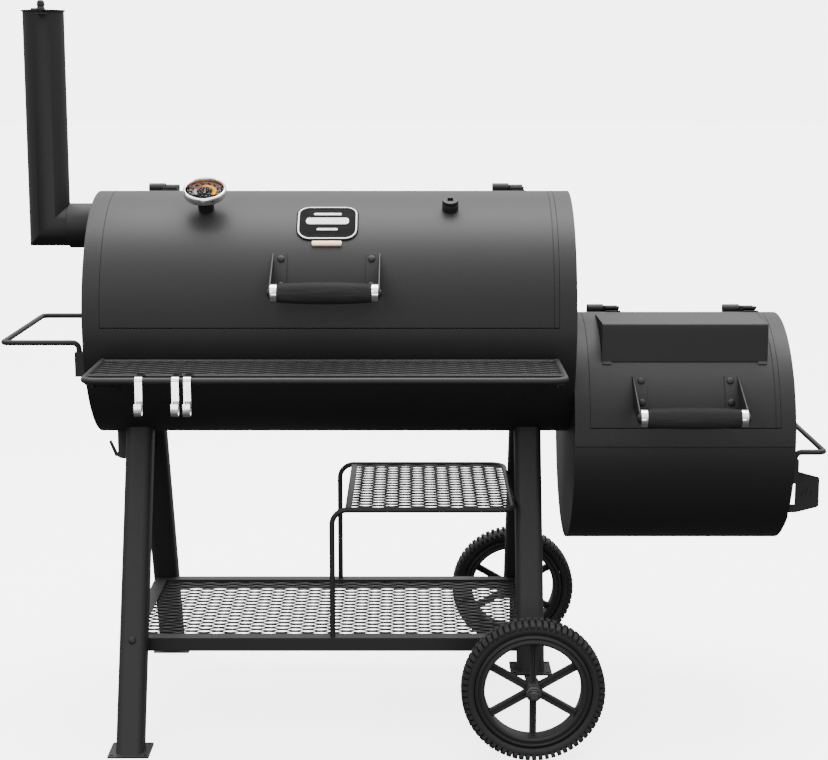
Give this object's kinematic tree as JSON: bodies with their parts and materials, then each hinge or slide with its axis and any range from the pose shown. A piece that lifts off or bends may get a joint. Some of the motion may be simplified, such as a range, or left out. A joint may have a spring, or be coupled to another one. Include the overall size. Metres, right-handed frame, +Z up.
{
  "type": "offset smoker",
  "caption": "Horizontal barrel smoker with an offset side firebox, elbowed chimney, hinged lids, front shelf and a splayed-leg cart on wheels.",
  "frame": {"origin": "centre of the object's footprint box, on the ground", "axes": "+Z up, +X from the smokestack towards the firebox along the barrel's axis, -Y towards the cook, who stands at the front shelf"},
  "size_m": [1.506, 0.8188, 1.346],
  "materials": {
    "black_paint": "satin high-heat powder paint with a fine orange-peel grain",
    "grip": "black-stained turned wood, satin",
    "bright_trim": "polished chrome plate",
    "badge_black": "satin black plaque with a pale raised border",
    "badge_copper": "brushed copper-coloured strip",
    "dial_face": "printed matt dial",
    "needle_white": "painted pointer",
    "gauge_glass": "clear gauge lens",
    "axle_steel": "plain steel bar and zinc fittings",
    "tyre_rubber": "moulded rubber tread",
    "grate_iron": "seasoned cast iron"
  },
  "bodies": {
    "frame": {"barrel_shell": "black_paint", "barrel_end_left": "black_paint", "barrel_end_right": "black_paint", "lid_hinge_sockets": "black_paint", "stack_collar": "black_paint", "smokestack": "black_paint", "stack_cap_bolt": "black_paint", "side_handles": "black_paint", "handle_brackets": "black_paint", "front_shelf_frame": "black_paint", "front_shelf_mesh": "black_paint", "front_shelf_brackets": "black_paint", "legs": "black_paint", "foot_plates": "black_paint", "frame_bolts": "black_paint", "low_shelf_frame": "black_paint", "low_shelf_mesh": "black_paint", "wood_shelf_frame": "black_paint", "wood_shelf_mesh": "black_paint", "axle": "axle_steel", "axle_fittings": "axle_steel", "grease_drain": "black_paint", "cooking_grates": "grate_iron", "grate_rails": "grate_iron", "firebox_lower": "black_paint", "firebox_upper": "black_paint", "firebox_hinge_sockets": "black_paint", "charcoal_grate": "grate_iron", "ash_door_hinge": "black_paint"},
    "chamber_lid": {"lid_shell": "black_paint", "lid_hinge_pins": "black_paint", "lid_handle_brackets": "black_paint", "lid_handle_grip": "grip", "lid_handle_ferrules": "bright_trim", "lid_handle_screws": "black_paint", "badge_plate": "badge_black", "badge_strip": "badge_copper", "thermometer_case": "bright_trim", "thermometer_dial": "dial_face", "thermometer_glass": "gauge_glass", "probe_port": "black_paint"},
    "firebox_lid": {"firebox_lid": "black_paint", "firebox_hinge_pins": "black_paint", "firebox_handle_brackets": "black_paint", "firebox_handle_grip": "grip", "firebox_handle_ferrules": "bright_trim", "firebox_handle_screws": "black_paint", "heat_shield": "black_paint"},
    "needle": {"thermometer_needle": "needle_white"},
    "stack_cap": {"stack_cap": "black_paint"},
    "hook_1": {"tool_hook_1": "bright_trim"},
    "hook_2": {"tool_hook_2": "bright_trim"},
    "hook_3": {"tool_hook_3": "bright_trim"},
    "ash_door": {"ash_door": "black_paint", "ash_door_pull": "black_paint"},
    "air_damper": {"air_damper": "black_paint"},
    "wheel_front": {"wheel_front": "black_paint", "tyre_front": "tyre_rubber"},
    "wheel_rear": {"wheel_rear": "black_paint", "tyre_rear": "tyre_rubber"}
  },
  "joints": [
    {"name": "lid_hinge", "type": "hinge", "parent": "frame", "child": "chamber_lid", "pos_m": [-0.1542, 0.14037, 0.995], "axis": [-1, 0, 0], "range_deg": [0, 105]},
    {"name": "firebox_lid_hinge", "type": "hinge", "parent": "frame", "child": "firebox_lid", "pos_m": [0.4873, 0.12537, 0.761], "axis": [-1, 0, 0], "range_deg": [0, 105]},
    {"name": "needle_pivot", "type": "hinge", "parent": "chamber_lid", "child": "needle", "pos_m": [-0.383, -0.08021, 1.00319], "axis": [0, 0.4695, -0.8829], "range_deg": [0, 250], "stiffness_Nm_per_rad": 0.001},
    {"name": "stack_cap_swing", "type": "hinge", "parent": "frame", "child": "stack_cap", "pos_m": [-0.6853, -0.00162, 1.328], "axis": [0, 0, 1], "range_deg": [0, 120]},
    {"name": "ash_door_hinge", "type": "hinge", "parent": "frame", "child": "ash_door", "pos_m": [0.6963, 0.19737, 0.439], "axis": [0, 0, 1], "range_deg": [0, 100]},
    {"name": "air_damper_turn", "type": "hinge", "parent": "ash_door", "child": "air_damper", "pos_m": [0.6923, 0.04537, 0.437], "axis": [1, 0, 0], "range_deg": [0, 60]},
    {"name": "hook_1_slide", "type": "slide", "parent": "frame", "child": "hook_1", "axis": [1, 0, 0], "range_m": [-0.055, 0.044]},
    {"name": "hook_2_slide", "type": "slide", "parent": "frame", "child": "hook_2", "axis": [1, 0, 0], "range_m": [-0.004, 0.004]},
    {"name": "hook_3_slide", "type": "slide", "parent": "frame", "child": "hook_3", "axis": [1, 0, 0], "range_m": [-0.001, 0.58]},
    {"name": "wheel_front_spin", "type": "hinge", "parent": "frame", "child": "wheel_front", "pos_m": [0.2088, -0.27863, 0.1288], "axis": [0, 1, 0], "continuous": true},
    {"name": "wheel_rear_spin", "type": "hinge", "parent": "frame", "child": "wheel_rear", "pos_m": [0.2088, 0.36938, 0.1288], "axis": [0, 1, 0], "continuous": true}
  ]
}
